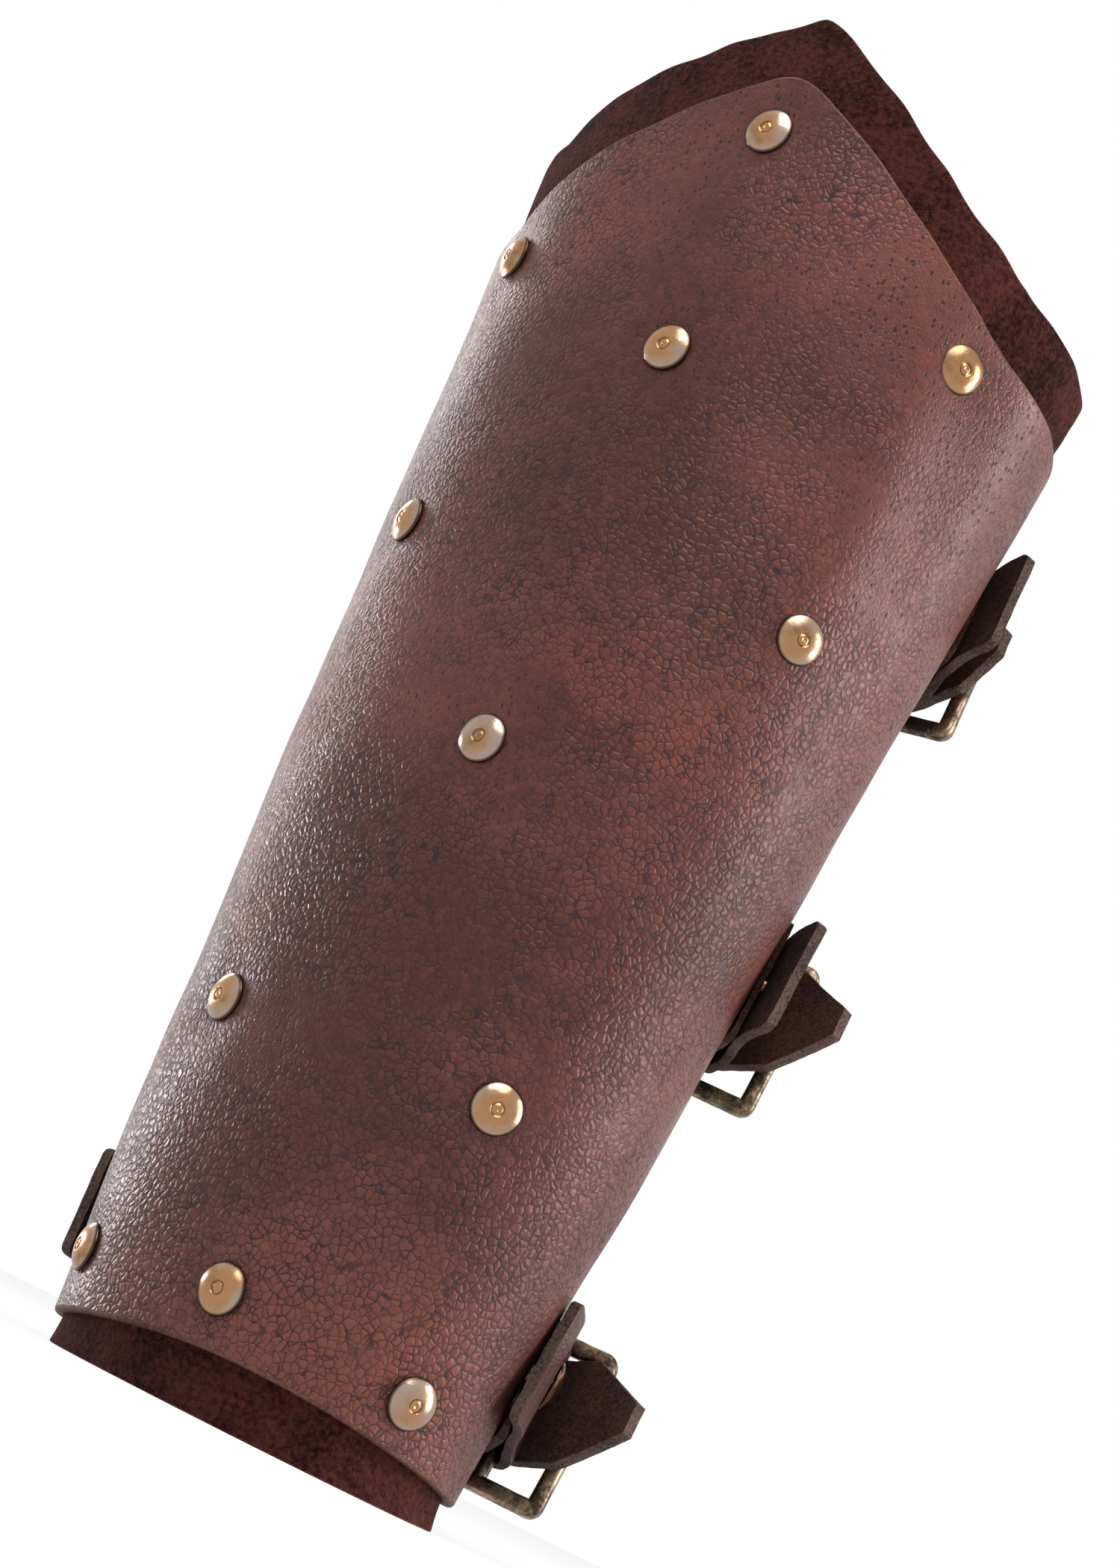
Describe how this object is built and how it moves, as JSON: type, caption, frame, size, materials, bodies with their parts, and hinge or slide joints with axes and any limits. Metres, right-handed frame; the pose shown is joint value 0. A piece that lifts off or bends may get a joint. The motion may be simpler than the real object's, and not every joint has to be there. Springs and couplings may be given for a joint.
{
  "type": "leather bracer",
  "caption": "Leather forearm bracer with a suede lining, domed studs and buckled straps across its open underside.",
  "frame": {"origin": "middle of the forearm opening in the plane of the lining's wrist edge", "axes": "+Z from wrist to elbow, -Y towards the back of the arm, +X towards the buckles"},
  "size_m": [0.1255, 0.1036, 0.2682],
  "materials": {
    "shell_leather": "satin pebbled grain",
    "suede": "napped suede",
    "strap_leather": "dark oiled leather",
    "stud_brass": "polished antique",
    "buckle_brass": "worn antique"
  },
  "bodies": {
    "bracer": {"outer_shell": "shell_leather", "suede_lining": "suede", "stud_caps": "stud_brass", "stud_backs": "stud_brass", "wrist_strap": "strap_leather", "wrist_chape": "strap_leather", "wrist_strap_rivet": "stud_brass", "wrist_chape_rivet": "stud_brass", "middle_strap": "strap_leather", "middle_chape": "strap_leather", "middle_strap_rivet": "stud_brass", "middle_chape_rivet": "stud_brass", "elbow_strap": "strap_leather", "elbow_chape": "strap_leather", "elbow_strap_rivet": "stud_brass", "elbow_chape_rivet": "stud_brass"},
    "wrist_frame": {"wrist_buckle_frame": "buckle_brass"},
    "wrist_prong": {"wrist_buckle_prong": "buckle_brass"},
    "middle_frame": {"middle_buckle_frame": "buckle_brass"},
    "middle_prong": {"middle_buckle_prong": "buckle_brass"},
    "elbow_frame": {"elbow_buckle_frame": "buckle_brass"},
    "elbow_prong": {"elbow_buckle_prong": "buckle_brass"}
  },
  "joints": [
    {"name": "wrist_frame_rock", "type": "hinge", "parent": "bracer", "child": "wrist_frame", "pos_m": [0.03656, 0.02589, 0.02618], "axis": [-0.008, 0.2588, 0.9659], "range_deg": [-1.5, 4]},
    {"name": "wrist_prong_lift", "type": "hinge", "parent": "wrist_frame", "child": "wrist_prong", "pos_m": [0.03656, 0.02589, 0.02618], "axis": [0.008, -0.2588, -0.9659], "range_deg": [0, 14]},
    {"name": "middle_frame_rock", "type": "hinge", "parent": "bracer", "child": "middle_frame", "pos_m": [0.03953, 0.02972, 0.10725], "axis": [-0.0082, 0.2098, 0.9777], "range_deg": [-1.5, 4]},
    {"name": "middle_prong_lift", "type": "hinge", "parent": "middle_frame", "child": "middle_prong", "pos_m": [0.03953, 0.02972, 0.10725], "axis": [0.0082, -0.2098, -0.9777], "range_deg": [0, 14]},
    {"name": "elbow_frame_rock", "type": "hinge", "parent": "bracer", "child": "elbow_frame", "pos_m": [0.04253, 0.03471, 0.18815], "axis": [-0.0752, 0.2782, 0.9576], "range_deg": [-1.5, 4]},
    {"name": "elbow_prong_lift", "type": "hinge", "parent": "elbow_frame", "child": "elbow_prong", "pos_m": [0.04253, 0.03471, 0.18815], "axis": [0.0752, -0.2782, -0.9576], "range_deg": [0, 14]}
  ]
}
